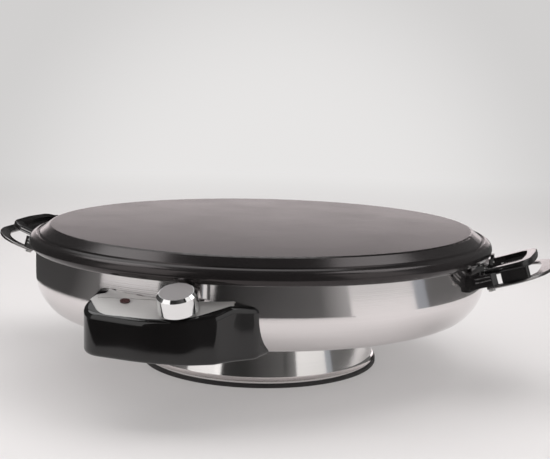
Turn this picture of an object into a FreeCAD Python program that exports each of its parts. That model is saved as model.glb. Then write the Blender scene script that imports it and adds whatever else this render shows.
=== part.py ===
import FreeCAD, Part
import math
import os
import Sketcher
from types import SimpleNamespace

doc = FreeCAD.newDocument("crepe_maker")
sheet = doc.addObject("Spreadsheet::Sheet", "Sizes")

# Driving dimensions in millimetres and degrees. Z is up from the table, the bowl stands
# on the Z axis, the control housing faces -Y and the handles lie along X.
DIMENSIONS = [
    ("bowl_radius", 204.2, "outside of the bowl's upright wall"),
    ("bowl_floor", 52, "height of the bowl's flat underside"),
    ("bowl_top", 109, "height of the bowl's upper edge"),
    ("bowl_gauge", 1.2, "thickness of the bowl's sheet"),
    ("bowl_slope_foot", 189.6, "radius where the slope below the wall would meet the floor"),
    ("bowl_slope", 50, "angle of that slope from the level, in degrees"),
    ("bowl_shoulder", 36, "rounding from the wall into the slope"),
    ("bowl_turn", 15, "rounding from the slope into the floor"),
    ("pedestal_radius", 95, "outside of the pedestal at its top"),
    ("pedestal_knee", 104.6, "outside of the pedestal where its foot flares out"),
    ("pedestal_knee_level", 8, "height where that flare starts"),
    ("pedestal_foot", 107.5, "radius of the pedestal's foot"),
    ("pedestal_flare", 5, "rounding of the flare"),
    ("pedestal_gauge", 1.5, "thickness of the pedestal's sheet"),
    ("pedestal_flange", 12, "width of the flange under the bowl"),
    ("foot_ring_height", 3.5, "height of the rubber ring"),
    ("foot_ring_radius", 109, "outside of the rubber ring"),
    ("foot_ring_width", 10, "width of the rubber ring"),
    ("plate_top", 126, "height of the cooking surface"),
    ("plate_flat", 190.9, "radius where the flat top ends"),
    ("plate_lip", 4, "rounding of the plate's lip"),
    ("plate_skin", 6, "thickness of the cooking surface"),
    ("rim_bead", 6.5, "radius of the rounded rim"),
    ("rim_middle", 203.6, "radius of the rim's centre line"),
    ("rim_level", 112, "height of the rim's centre line"),
    ("rim_foot", 106.4, "height of the rim's lower edge"),
    ("rim_gap", 0.6, "gap between the rim's skirt and the bowl"),
    ("seat_gap", 0.3, "gap between the plate's seat and the bowl's edge"),
    ("panel_level", 92.5, "height of the panel where it meets the bowl"),
    ("panel_slope", 18.5, "slope of the panel, falling away from the bowl"),
    ("panel_gauge", 1.2, "thickness of the panel"),
    ("panel_sink", 1, "depth of the panel below the housing's rim"),
    ("housing_foot", 51, "height of the housing cover's underside"),
    ("cover_split", 56, "height of the joint between the cover and the housing"),
    ("housing_wall", 2.5, "wall of the housing"),
    ("housing_skin", 3, "housing under the panel"),
    ("housing_left", 62, "housing's left side, from the middle"),
    ("housing_back", 178, "where the housing ends under the bowl"),
    ("housing_shoulder", 5, "rounding of the housing's upper edge"),
    ("wing_start", 45, "where the height of the housing's wing is given, from the middle"),
    ("wing_level", 93.4, "height of the wing's top there"),
    ("wing_lean", 7.4, "fall of the wing's top towards its right end"),
    ("cover_edge", 4.4, "rounding of the cover's lower edge"),
    ("knob_x", 15.2, "knob's centre, to the right of the middle"),
    ("knob_y", 219.6, "knob's centre, in front of the bowl's axis"),
    ("knob_radius", 15.2, "radius of the knob"),
    ("knob_height", 15, "height of the knob"),
    ("knob_gap", 2.5, "gap between the panel and the knob"),
    ("knob_bevel", 2.2, "width of the knob's bevel"),
    ("knob_cap_radius", 12.5, "radius of the knob's cap"),
    ("shaft_radius", 3, "radius of the thermostat's shaft"),
    ("shaft_play", 0.05, "running clearance of the shaft in its bush"),
    ("bush_radius", 5, "radius of the thermostat's threaded bush"),
    ("thermostat_side", 24, "side of the thermostat's square body"),
    ("thermostat_depth", 19, "depth of the thermostat's body"),
    ("lamp_x", 32, "pilot lamp, to the left of the middle"),
    ("lamp_y", 212.5, "pilot lamp, in front of the bowl's axis"),
    ("lamp_length", 8, "length of the lamp's oval window"),
    ("lamp_width", 5.4, "width of the lamp's oval window"),
    ("strap_tilt", 17, "slope of the strap handles, rising outwards"),
    ("strap_start", 213, "where the straps' slope starts, from the middle"),
    ("strap_level", 89.2, "height of a strap's underside at its start"),
    ("strap_half_width", 52, "half the width over a strap's legs"),
    ("strap_leg_width", 6, "width of a strap's legs"),
    ("strap_end_width", 11.5, "width of a strap's end bar"),
    ("strap_gauge", 2.6, "thickness of the strap"),
    ("strap_reach", 53.8, "length of the strap to the middle of its end"),
    ("strap_corner", 34, "rounding from a leg into the end bar"),
    ("bracket_arm", 7, "width of a bracket's arm on the strap"),
    ("bracket_rise", 9.8, "height of a bracket's arm above the strap"),
    ("bracket_radius", 208, "outside of the bracket's pad on the bowl"),
    ("loop_tilt", 18.8, "slope of the plate's loop handles"),
    ("loop_start", 209.6, "where the loops start, from the middle"),
    ("loop_level", 103.3, "height of a loop's top at its start"),
    ("loop_half_width", 37, "half the width of a loop"),
    ("loop_bar", 8, "width of the loop's bar"),
    ("loop_gauge", 5.8, "thickness of the loop"),
    ("loop_reach", 40.5, "length of the loop to the middle of its end"),
    ("element_radius", 140, "radius of the heating element's ring"),
    ("element_tube", 3.5, "radius of the heating element's tube"),
    ("element_level", 116.2, "height of the element's centre line"),
    ("element_bend", 12, "bend from the ring into the element's legs"),
    ("reflector_floor", 84, "height of the reflector's floor"),
    ("reflector_flange", 97, "height of the reflector's flange"),
    ("reflector_gauge", 1, "thickness of the reflector's sheet"),
    ("inlet_level", 73, "height of the appliance inlet's middle"),
    ("screw_radius", 1.5, "radius of the small screws"),
    ("screw_head", 2.8, "radius of their heads"),
]


class Size:
    """A length known as a number and as the sheet expression that gives it."""

    def __init__(self, value, text=None):
        self.value = float(value)
        self.text = text or repr(float(value))

    def joined(self, sign, other, value):
        return Size(value, "(%s %s %s)" % (self.text, sign, as_size(other).text))

    def __add__(self, other):
        return self.joined("+", other, self.value + as_size(other).value)

    def __sub__(self, other):
        return self.joined("-", other, self.value - as_size(other).value)

    def __mul__(self, other):
        return self.joined("*", other, self.value * as_size(other).value)

    def __truediv__(self, other):
        return self.joined("/", other, self.value / as_size(other).value)

    def __neg__(self):
        return Size(-self.value, "(0 - %s)" % self.text)


def as_size(number):
    return number if isinstance(number, Size) else Size(number)


def fill_sheet():
    named = {}
    for row, (alias, value, meaning) in enumerate(DIMENSIONS, start=1):
        sheet.set("A%d" % row, meaning)
        sheet.set("B%d" % row, str(value))
        sheet.setAlias("B%d" % row, alias)
        named[alias] = Size(value, "Sizes." + alias)
    doc.recompute()
    return SimpleNamespace(**named)


size = fill_sheet()


def bind(thing, path, amount):
    amount = as_size(amount)
    thing.setExpression(path, amount.text)


def place(thing, x=0, y=0, z=0, axis=(0, 0, 1), angle=0):
    """Puts a thing at a point, turned about an axis, with each number bound to the sheet."""
    at = FreeCAD.Vector(as_size(x).value, as_size(y).value, as_size(z).value)
    turn = FreeCAD.Rotation(FreeCAD.Vector(*axis), as_size(angle).value)
    thing.Placement = FreeCAD.Placement(at, turn)
    for path, amount in (("x", x), ("y", y), ("z", z)):
        if isinstance(amount, Size):
            bind(thing, "Placement.Base." + path, amount)
    if isinstance(angle, Size):
        bind(thing, "Placement.Rotation.Angle", angle)
    return thing


def cylinder(name, radius, height, **where):
    thing = doc.addObject("Part::Cylinder", name)
    bind(thing, "Radius", radius)
    bind(thing, "Height", height)
    return place(thing, **where)


def block(name, length, width, height, **where):
    thing = doc.addObject("Part::Box", name)
    bind(thing, "Length", length)
    bind(thing, "Width", width)
    bind(thing, "Height", height)
    return place(thing, **where)


def cut(name, base, tool):
    thing = doc.addObject("Part::Cut", name)
    thing.Base = base
    thing.Tool = tool
    return thing


def common(name, base, tool):
    thing = doc.addObject("Part::Common", name)
    thing.Base = base
    thing.Tool = tool
    return thing


def fuse(name, *pieces):
    thing = doc.addObject("Part::MultiFuse", name)
    thing.Shapes = list(pieces)
    thing.Refine = True
    return thing


def group(name, *pieces):
    thing = doc.addObject("Part::Compound", name)
    thing.Links = list(pieces)
    return thing


def plane_of(body, role):
    for feature in body.Origin.OriginFeatures:
        if feature.Role == role:
            return feature


def arc_through(start, end, radius, left):
    """The short arc from start to end, its centre to the left or the right of the way."""
    middle = (start + end) * 0.5
    along = end - start
    across = FreeCAD.Vector(-along.y, along.x, 0).normalize()
    reach = math.sqrt(max(radius * radius - along.Length * along.Length / 4, 0))
    centre = middle + across * (reach if left else -reach)
    first = math.atan2(start.y - centre.y, start.x - centre.x)
    last = math.atan2(end.y - centre.y, end.x - centre.x)
    circle = Part.Circle(centre, FreeCAD.Vector(0, 0, 1), radius)
    if left:
        return Part.ArcOfCircle(circle, first, last)
    return Part.ArcOfCircle(circle, last, first)


def draw(sketch, points):
    """Draws a closed outline and fixes it to the sheet's sizes.

    A point is (x, y). One with a third entry starts an arc to the next point: the entry is
    its radius, counted positive when the arc's centre lies to the left of the way."""
    spots = [FreeCAD.Vector(as_size(p[0]).value, as_size(p[1]).value, 0) for p in points]
    edges = []
    for index, point in enumerate(points):
        start = spots[index]
        end = spots[(index + 1) % len(points)]
        if len(point) < 3:
            edges.append((sketch.addGeometry(Part.LineSegment(start, end)), 1, 2))
            continue
        radius = as_size(point[2])
        left = radius.value > 0
        edge = sketch.addGeometry(arc_through(start, end, abs(radius.value), left))
        edges.append((edge, 1, 2) if left else (edge, 2, 1))
        length = radius if left else -radius
        rule = sketch.addConstraint(Sketcher.Constraint("Radius", edge, length.value))
        bind(sketch, "Constraints[%d]" % rule, length)
    for index, (edge, head, tail) in enumerate(edges):
        previous, _, previous_tail = edges[index - 1]
        sketch.addConstraint(Sketcher.Constraint("Coincident", previous, previous_tail, edge, head))
        for kind, amount in (("DistanceX", points[index][0]), ("DistanceY", points[index][1])):
            amount = as_size(amount)
            if amount.value == 0:
                axis = -2 if kind == "DistanceX" else -1
                sketch.addConstraint(Sketcher.Constraint("PointOnObject", edge, head, axis))
                continue
            rule = Sketcher.Constraint(kind, -1, 1, edge, head, amount.value)
            rule = sketch.addConstraint(rule)
            bind(sketch, "Constraints[%d]" % rule, amount)
    return sketch


def outline_in(body, role, name, points):
    sketch = body.newObject("Sketcher::SketchObject", name)
    sketch.AttachmentSupport = (plane_of(body, role), [""])
    sketch.MapMode = "FlatFace"
    return draw(sketch, points)


def turned(name, points):
    """A body turned about Z from an outline of radius and height."""
    body = doc.addObject("PartDesign::Body", name)
    sketch = outline_in(body, "XZ_Plane", name + "_profile", points)
    turn = body.newObject("PartDesign::Revolution", name + "_turned")
    turn.Profile = sketch
    turn.ReferenceAxis = (sketch, ["V_Axis"])
    turn.Angle = 360
    sketch.Visibility = False
    doc.recompute()
    return body


def slab(name, points, thickness, **where):
    """A body padded up from an outline of x and y, then put in its place."""
    body = doc.addObject("PartDesign::Body", name)
    sketch = outline_in(body, "XY_Plane", name + "_profile", points)
    pad = body.newObject("PartDesign::Pad", name + "_pad")
    pad.Profile = sketch
    bind(pad, "Length", thickness)
    doc.recompute()
    place(body, **where)
    return body


def rounded_slab(name, corners, thickness, **where):
    """A padded polygon; a corner's third entry is the radius that rounds it."""
    body = slab(name, [(x, y) for x, y, *_ in corners], thickness)
    for radius in sorted({as_size(corner[2]).value for corner in corners if len(corner) > 2}):
        spots = [corner[:2] for corner in corners if len(corner) > 2 and as_size(corner[2]).value == radius]
        round_edges(body, radius, corner_edge(spots), "%s_corner_%d" % (name, round(radius * 10)))
    place(body, **where)
    return body


def corner_edge(spots):
    """Chooses the upright edges over these corners."""
    spots = [(as_size(x).value, as_size(y).value) for x, y in spots]

    def wanted(edge):
        ends = [vertex.Point for vertex in edge.Vertexes]
        over = [all(abs(end.x - x) + abs(end.y - y) < 0.01 for end in ends) for x, y in spots]
        return any(over)
    return wanted


def inset(corners, amount):
    """The same polygon drawn in by an amount, with its corner radii to match."""
    plain = [(as_size(x).value, as_size(y).value, as_size((rest or [0])[0]).value) for x, y, *rest in corners]
    inner = []
    for before, corner, after in zip(plain[-1:] + plain[:-1], plain, plain[1:] + plain[:1]):
        into = FreeCAD.Vector(corner[0] - before[0], corner[1] - before[1], 0).normalize()
        out = FreeCAD.Vector(after[0] - corner[0], after[1] - corner[1], 0).normalize()
        turn = into.x * out.y - into.y * out.x
        inward = FreeCAD.Vector(-into.y - out.y, into.x + out.x, 0)
        step = inward * (amount / (1 + into.dot(out)))
        radius = corner[2] and max(corner[2] + (amount if turn < 0 else -amount), 0.5)
        moved = (corner[0] + step.x, corner[1] + step.y)
        inner.append(moved + (radius,) if radius else moved)
    return inner


def edges_where(shape, wanted):
    return ["Edge%d" % n for n, edge in enumerate(shape.Edges, start=1) if wanted(edge)]


def round_edges(body, radius, wanted, name):
    """Rounds the chosen edges of a body's latest feature."""
    doc.recompute()
    before = body.Tip
    fillet = body.newObject("PartDesign::Fillet", name)
    fillet.Base = (before, edges_where(before.Shape, wanted))
    bind(fillet, "Radius", radius)
    body.Tip = fillet
    doc.recompute()
    return fillet


def ring_edge(radius, height, slack=0.2):
    """Chooses the circle of this radius and height about the Z axis."""
    radius = as_size(radius).value
    height = as_size(height).value

    def wanted(edge):
        curve = edge.Curve
        if not isinstance(curve, Part.Circle):
            return False
        near = abs(curve.Radius - radius) < slack and abs(curve.Center.z - height) < slack
        return near and abs(curve.Center.x) < slack and abs(curve.Center.y) < slack
    return wanted


def tube(name, points, radius, bend):
    """A bent tube: straight runs between the points, joined by arcs of one radius."""
    points = [FreeCAD.Vector(*p) for p in points]
    edges = []
    last = points[0]
    for before, corner, after in zip(points, points[1:], points[2:]):
        into = (corner - before).normalize()
        out = (after - corner).normalize()
        reach = bend * math.tan(into.getAngle(out) / 2)
        start = corner - into * reach
        end = corner + out * reach
        inward = (out - into).normalize()
        middle = corner + inward * (bend / math.cos(into.getAngle(out) / 2) - bend)
        edges.append(Part.LineSegment(last, start).toShape())
        edges.append(Part.Arc(start, middle, end).toShape())
        last = end
    edges.append(Part.LineSegment(last, points[-1]).toShape())
    return pipe(name, edges, radius)


def pipe(name, edges, radius):
    wire = Part.Wire(edges)
    start = wire.OrderedVertexes[0].Point
    heading = wire.OrderedEdges[0].tangentAt(wire.OrderedEdges[0].FirstParameter)
    section = Part.Wire([Part.makeCircle(radius, start, heading)])
    thing = doc.addObject("Part::Feature", name)
    thing.Shape = wire.makePipeShell([section], True, False)
    thing.Placement = FreeCAD.Placement()
    return thing


nodes = {}


def keep(thing, name):
    """Names a finished sub-part."""
    thing.Label = name
    nodes[name] = thing
    return thing


def about_z(name, thing, angle):
    """The same thing turned about the bowl's axis."""
    copy = doc.addObject("Part::Compound", name)
    copy.Links = [thing]
    copy.Placement = FreeCAD.Placement(FreeCAD.Vector(), FreeCAD.Rotation(FreeCAD.Vector(0, 0, 1), angle))
    return copy


# Bowl: a deep-drawn steel pan with an upright wall and a soft slope into a flat floor.
SLOPE = math.radians(size.bowl_slope.value)
OPEN_TOP = 5


def bowl_blank(name, inward=0, above=0):
    """The solid of the bowl's outside, or of its inside when drawn in by the gauge."""
    floor = size.bowl_floor + inward
    wall = size.bowl_radius - inward
    top = size.bowl_top + above
    foot = size.bowl_slope_foot - as_size(inward) * math.tan(SLOPE / 2)
    corner = floor + (wall - foot) * math.tan(SLOPE)
    turn = size.bowl_turn - inward
    shoulder = size.bowl_shoulder - inward
    turn_reach = turn * math.tan(SLOPE / 2)
    shoulder_reach = shoulder * math.tan(math.pi / 4 - SLOPE / 2)
    return turned(name, [
        (0, floor),
        (foot - turn_reach, floor, turn),
        (foot + turn_reach * math.cos(SLOPE), floor + turn_reach * math.sin(SLOPE)),
        (wall - shoulder_reach * math.cos(SLOPE), corner - shoulder_reach * math.sin(SLOPE), shoulder),
        (wall, corner + shoulder_reach),
        (wall, top),
        (0, top),
    ])


bowl_solid = bowl_blank("bowl_solid")
bowl_inside_solid = bowl_blank("bowl_inside_solid", size.bowl_gauge, OPEN_TOP)
bowl_hollow = cut("bowl_hollow", bowl_solid, bowl_inside_solid)

# Pedestal: a pressed cone with a flange under the bowl and a small flare at its foot.
pedestal_sheet = turned("pedestal_sheet", [
    (size.pedestal_radius - size.pedestal_flange, size.bowl_floor - size.pedestal_gauge),
    (size.pedestal_radius - size.pedestal_gauge, size.bowl_floor - size.pedestal_gauge),
    (size.pedestal_knee - size.pedestal_gauge * 1.03, size.pedestal_knee_level - size.pedestal_gauge / 5),
    (size.pedestal_foot - size.pedestal_gauge * 2, size.foot_ring_height),
    (size.pedestal_foot, size.foot_ring_height),
    (size.pedestal_foot, size.foot_ring_height + size.pedestal_gauge, -size.pedestal_flare),
    (size.pedestal_knee, size.pedestal_knee_level),
    (size.pedestal_radius, size.bowl_floor),
    (size.pedestal_radius - size.pedestal_flange, size.bowl_floor),
])

# Rubber ring: the only thing that touches the table.
ring = turned("foot_ring_body", [
    (size.foot_ring_radius - size.foot_ring_width, 0),
    (size.foot_ring_radius, 0),
    (size.foot_ring_radius, size.foot_ring_height),
    (size.foot_ring_radius - size.foot_ring_width, size.foot_ring_height),
])
round_edges(ring, 1, ring_edge(size.foot_ring_radius, size.foot_ring_height), "foot_ring_round")
keep(ring, "foot_ring")

# Pedestal screws and nuts: four of each, through the flange and the bowl's floor.
FLANGE_SCREWS = 4
flange_screw_radius = size.pedestal_radius - size.pedestal_flange / 2 - 1
screw_head_height = 2
pedestal_screws = []
pedestal_nuts = []
for turn in range(FLANGE_SCREWS):
    angle = math.radians(45 + 360 * turn / FLANGE_SCREWS)
    where = {"x": flange_screw_radius * math.cos(angle), "y": flange_screw_radius * math.sin(angle)}
    under = size.bowl_floor - size.pedestal_gauge - screw_head_height
    head = cylinder("pedestal_screw_head_%d" % turn, size.screw_head, screw_head_height, z=under, **where)
    shank = cylinder("pedestal_screw_shank_%d" % turn, size.screw_radius, 9, z=under, **where)
    pedestal_screws.append(fuse("pedestal_screw_%d" % turn, head, shank))
    nut_blank = cylinder("pedestal_nut_blank_%d" % turn, 3, 2.4, z=size.bowl_floor + size.bowl_gauge, **where)
    pedestal_nuts.append(cut("pedestal_nut_%d" % turn, nut_blank, shank))
keep(group("pedestal_screw_set", *pedestal_screws), "pedestal_screws")
keep(group("pedestal_nut_set", *pedestal_nuts), "pedestal_nuts")
keep(cut("pedestal_drilled", pedestal_sheet, nodes["pedestal_screws"]), "pedestal")

# Crepe plate: a thick flat casting whose rim hangs over the bowl's edge as a round bead.
bead_top = size.rim_level + 6.03
skirt = size.bowl_radius + size.rim_gap
seat = size.bowl_top + size.seat_gap
keep(turned("crepe_plate_casting", [
    (0, size.plate_top - size.plate_skin),
    (size.plate_flat - 4, size.plate_top - size.plate_skin),
    (size.bowl_radius - 8.6, size.plate_top - 9),
    (size.bowl_radius - 6.6, seat),
    (skirt, seat),
    (skirt, size.rim_foot),
    (size.rim_middle + 3.1, size.rim_foot),
    (size.rim_middle + 4.18, size.rim_level - 4.98, size.rim_bead),
    (size.rim_middle + 2.43, bead_top),
    (size.rim_middle + 0.2, bead_top + 0.85),
    (size.rim_middle - 0.8, size.plate_top - 7.7),
    (size.rim_middle - 2.4, size.plate_top - 7.7),
    (size.rim_middle - 3.2, size.plate_top - 6.35),
    (size.plate_flat + 2.46, size.plate_top - 0.85, size.plate_lip),
    (size.plate_flat, size.plate_top),
    (0, size.plate_top),
]), "crepe_plate")

# Reflector: a shallow dish under the element that keeps its heat off the wiring.
flange_width = 7
reflector_edge = size.bowl_radius - size.bowl_gauge - 0.1
reflector_sheet = turned("reflector_sheet", [
    (0, size.reflector_floor),
    (165, size.reflector_floor),
    (reflector_edge - flange_width, size.reflector_flange),
    (reflector_edge, size.reflector_flange),
    (reflector_edge, size.reflector_flange + size.reflector_gauge),
    (reflector_edge - flange_width - 0.4, size.reflector_flange + size.reflector_gauge),
    (164.6, size.reflector_floor + size.reflector_gauge),
    (0, size.reflector_floor + size.reflector_gauge),
])

# Reflector clips and their screws: three of each under the flange.
CLIPS = 3
clip_out = size.bowl_radius - size.bowl_gauge - 0.9
clips = []
clip_screws = []
for turn in range(CLIPS):
    shelf = block("clip_shelf_%d" % turn, 6, 12, 1.5, x=clip_out - 6, y=-6, z=size.reflector_flange - 1.5)
    leg = block("clip_leg_%d" % turn, 1.5, 12, 10, x=clip_out - 1.5, y=-6, z=size.reflector_flange - 11.5)
    clip = fuse("clip_%d" % turn, shelf, leg)
    axis_x = reflector_edge - flange_width / 2
    head = cylinder("clip_screw_head_%d" % turn, size.screw_head, 1.8, x=axis_x,
                    z=size.reflector_flange + size.reflector_gauge)
    shank = cylinder("clip_screw_shank_%d" % turn, size.screw_radius, 9, x=axis_x,
                     z=size.reflector_flange + size.reflector_gauge - 8)
    screw = fuse("clip_screw_%d" % turn, head, shank)
    drilled = cut("clip_drilled_%d" % turn, clip, shank)
    turned_by = 30 + 360 * turn / CLIPS
    clips.append(about_z("clip_turned_%d" % turn, drilled, turned_by))
    clip_screws.append(about_z("clip_screw_turned_%d" % turn, screw, turned_by))
keep(group("clip_set", *clips), "reflector_clips")
keep(group("clip_screw_set", *clip_screws), "reflector_screws")


# Heating element: one sheathed tube, bent into a ring with two legs down to the terminals.
def element_edges(low):
    radius = size.element_radius.value
    level = size.element_level.value
    bend = size.element_bend.value
    half_gap = math.asin((bend + 7) / radius)
    down = -math.pi / 2
    ring_circle = Part.Circle(FreeCAD.Vector(0, 0, level), FreeCAD.Vector(0, 0, 1), radius)
    edges = [Part.ArcOfCircle(ring_circle, down + half_gap, down + 2 * math.pi - half_gap).toShape()]
    for side in (1, -1):
        start = FreeCAD.Vector(radius * math.cos(down + side * half_gap),
                               radius * math.sin(down + side * half_gap), level)
        heading = FreeCAD.Vector(-math.cos(half_gap) * side, -math.sin(half_gap), 0)
        centre = start - FreeCAD.Vector(0, 0, bend)
        middle = centre + (heading + FreeCAD.Vector(0, 0, 1)).normalize() * bend
        end = centre + heading * bend
        foot = FreeCAD.Vector(end.x, end.y, low)
        arc = Part.Arc(end, middle, start).toShape()
        leg = Part.LineSegment(foot, end).toShape()
        edges = [leg, arc] + edges if side == 1 else edges + [arc, leg]
    return edges


TERMINAL_TOP = 78
keep(pipe("element_tube", Part.__sortEdges__(element_edges(TERMINAL_TOP)), size.element_tube.value),
     "heating_element")

# Element supports: three sheet posts on the reflector with a shelf under the ring.
supports = []
element_underside = size.element_level - size.element_tube
reflector_top = size.reflector_floor + size.reflector_gauge
for turn in range(CLIPS):
    foot = block("support_foot_%d" % turn, 16, 10, 1.5, x=size.element_radius - 19, y=-5, z=reflector_top)
    post = block("support_post_%d" % turn, 1.5, 10, element_underside - reflector_top,
                 x=size.element_radius - 6, y=-5, z=reflector_top)
    shelf = block("support_shelf_%d" % turn, 12, 10, 1.5, x=size.element_radius - 6, y=-5,
                  z=element_underside - 1.5)
    support = fuse("support_%d" % turn, foot, post, shelf)
    supports.append(about_z("support_turned_%d" % turn, support, 30 + 360 * turn / CLIPS))
keep(group("support_set", *supports), "element_supports")

# Terminal block: a ceramic block on a bracket, where the element's legs and the wires meet.
terminal_y = -size.element_radius
keep(block("terminal_ceramic", 40, 26, 16, x=-20, y=terminal_y - 10, z=TERMINAL_TOP - 16), "terminal_block")
bowl_inside = size.bowl_floor + size.bowl_gauge
keep(block("terminal_stand", 24, 14, Size(TERMINAL_TOP - 16) - bowl_inside, x=-12,
           y=terminal_y - 4, z=bowl_inside), "terminal_bracket")

# Control housing: a black moulding in front of the bowl, round at its left end and drawn
# out into a slim wing at its right. Its outline is shared with the cover below it.
HOUSING_OUTLINE = [
    (-size.housing_left, -size.housing_back),
    (-size.housing_left, -233.8, 19),
    (-7, -237.9, 120),
    (25, -233.3, 50),
    (44.7, -221.1, 6.5),
    (53, -208.5, 60),
    (67, -194.5, 12),
    (70, -size.housing_back),
]
PANEL_OUTLINE = [
    (-52, -185),
    (-53, -203.2),
    (-59.2, -206.6, 4),
    (-60.6, -214, 2.5),
    (-42.8, -233.3, 20),
    (-4, -233.4, 100),
    (25, -229.6, 40),
    (51.9, -204.6, 1.2),
    (44, -185),
]
PANEL_GROOVE = [(-56, -210.5), (2, -205.6)]
GROOVE_WIDTH = 0.9
GROOVE_DEPTH = 0.5


# The panel and everything on it stand square to the panel's slope.
slope = FreeCAD.Rotation(FreeCAD.Vector(1, 0, 0), size.panel_slope.value)
panel_foot = FreeCAD.Vector(0, -size.bowl_radius.value + 0.2, size.panel_level.value)


def upright(name, points, low, high):
    """A block with upright walls over an outline of x and y."""
    return rounded_slab(name, points, as_size(high) - low, z=low)


def above_panel(name, offset, reach):
    """A wide box on the panel's slope: its underside is this far above the panel's face."""
    half = 120
    thing = block(name, 2 * half, 2 * half, reach)
    corner = slope.multVec(FreeCAD.Vector(-half, -half, offset))
    thing.Placement = FreeCAD.Placement(panel_foot + corner, slope)
    bind(thing, "Placement.Rotation.Angle", size.panel_slope)
    return thing


def above_wing(half):
    """A wide box whose underside is the wing's top."""
    lean = math.radians(size.wing_lean.value)
    return block("wing_sky", 2 * half, 2 * half, 60, x=size.wing_start - half * math.cos(lean), y=-2 * half,
                 z=size.wing_level + half * math.sin(lean), axis=(0, 1, 0), angle=size.wing_lean)


def housing_block():
    """The housing's outside: sloped in front of the bowl, falling along its wing, rounded
    along its upper edge, and level beside the bowl's wall."""
    blank = upright("housing_blank", HOUSING_OUTLINE, size.cover_split, 112)
    fallen = cut("housing_fallen", blank, above_wing(150))
    sloped = cut("housing_sloped", fallen, above_panel("housing_sky", size.panel_sink.value, 80))
    doc.recompute()
    rounded = doc.addObject("Part::Fillet", "housing_rounded")
    rounded.Base = sloped
    radius = size.housing_shoulder.value
    rounded.Edges = [(number, radius, radius) for number, edge in enumerate(sloped.Shape.Edges, start=1)
                     if outer_top_edge(edge)]
    doc.recompute()
    level = block("housing_level", 240, 120, 40, x=-120, y=-240, z=size.panel_level + 1.6)
    return cut("housing_topped", rounded, level)


def outer_top_edge(edge):
    """Whether an edge runs along the housing's outline at its top, and not at its back."""
    low = min(vertex.Point.z for vertex in edge.Vertexes)
    if low < size.cover_split.value + 5:
        return False
    back = -size.housing_back.value - 0.01
    if min(vertex.Point.y for vertex in edge.Vertexes) > back:
        return False
    first = edge.Vertexes[0].Point
    last = edge.Vertexes[-1].Point
    return abs(first.x - last.x) + abs(first.y - last.y) > 0.01


def on_panel(x, y):
    """The point of the panel's face over this place in plan."""
    rise = math.tan(math.radians(size.panel_slope.value)) * (y - panel_foot.y)
    return FreeCAD.Vector(x, y, panel_foot.z + rise)


def stand_on_panel(thing, spot, offset=0):
    """Puts a thing on the panel, its own Z along the panel's outward direction."""
    thing.Placement = FreeCAD.Placement(spot + slope.multVec(FreeCAD.Vector(0, 0, offset)), slope)
    bind(thing, "Placement.Rotation.Angle", size.panel_slope)
    return thing


knob_spot = on_panel(size.knob_x.value, -size.knob_y.value)
lamp_spot = on_panel(-size.lamp_x.value, -size.lamp_y.value)


def panel_cylinder(name, radius, height, spot, offset):
    return stand_on_panel(cylinder(name, radius, height), spot, offset)


panel_recess = common(
    "panel_recess",
    upright("panel_recess_column", PANEL_OUTLINE, 60, 112),
    above_panel("panel_recess_slope", -size.panel_gauge.value, 12),
)
housing_cavity = cut(
    "housing_cavity",
    upright("housing_inside", inset(HOUSING_OUTLINE, size.housing_wall.value), size.cover_split - 2, 112),
    above_panel("housing_ceiling", -size.panel_gauge.value - size.housing_skin.value, 80),
)
bush_hole = panel_cylinder("bush_hole", size.bush_radius, 12, knob_spot, -10)
lamp_hole = panel_cylinder("lamp_hole", 3, 12, lamp_spot, -10)

# Bosses: two posts inside the housing, screwed from below through the cover.
BOSSES = [(-49, -207), (36, -207)]
BOSS_RADIUS = 3.6
bosses = []
cover_screws = []
fixing_screws = []
for number, (boss_x, boss_y) in enumerate(BOSSES):
    bosses.append(cylinder("boss_%d" % number, BOSS_RADIUS, 28, x=boss_x, y=boss_y, z=size.cover_split))
    head = cylinder("cover_screw_head_%d" % number, size.screw_head, 1.6, x=boss_x, y=boss_y,
                    z=size.housing_foot)
    shank = cylinder("cover_screw_shank_%d" % number, size.screw_radius, 17, x=boss_x, y=boss_y,
                     z=size.housing_foot)
    cover_screws.append(fuse("cover_screw_%d" % number, head, shank))
    wall_y = -math.sqrt((size.bowl_radius.value - size.bowl_gauge.value) ** 2 - boss_x ** 2)
    head = cylinder("fixing_head_%d" % number, size.screw_head, 1.8, x=boss_x, y=wall_y + 2.6, z=79,
                    axis=(1, 0, 0), angle=90)
    shank = cylinder("fixing_shank_%d" % number, size.screw_radius, 12, x=boss_x, y=wall_y + 2.6, z=79,
                     axis=(1, 0, 0), angle=90)
    fixing_screws.append(fuse("fixing_screw_%d" % number, head, shank))
keep(group("cover_screw_set", *cover_screws), "housing_cover_screws")
keep(group("fixing_screw_set", *fixing_screws), "housing_fixing_screws")

housing_open = cut("housing_open", housing_block(), housing_cavity)
housing_bossed = fuse("housing_bossed", housing_open, *bosses)
housing_cuts = [bowl_solid, panel_recess, bush_hole, lamp_hole,
                nodes["housing_cover_screws"], nodes["housing_fixing_screws"]]
housing_piece = housing_bossed
for number, tool in enumerate(housing_cuts):
    housing_piece = cut("housing_cut_%d" % number, housing_piece, tool)
keep(housing_piece, "control_housing")

# Housing cover: the tray that closes the housing from below.
cover_blank = upright("cover_blank", HOUSING_OUTLINE, size.housing_foot, size.cover_split)
round_edges(cover_blank, size.cover_edge, lambda edge: (
    max(v.Point.z for v in edge.Vertexes) < 0.01
    and min(v.Point.y for v in edge.Vertexes) < -size.housing_back.value - 0.01), "cover_rounded")
cover_hollow = upright("cover_inside", inset(HOUSING_OUTLINE, size.housing_wall.value),
                       size.housing_foot + 2, size.cover_split + 1)
cover_open = cut("cover_open", cover_blank, cover_hollow)
cover_fitted = cut("cover_fitted", cover_open, bowl_solid)
keep(cut("cover_drilled", cover_fitted, nodes["housing_cover_screws"]), "housing_cover")

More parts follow.
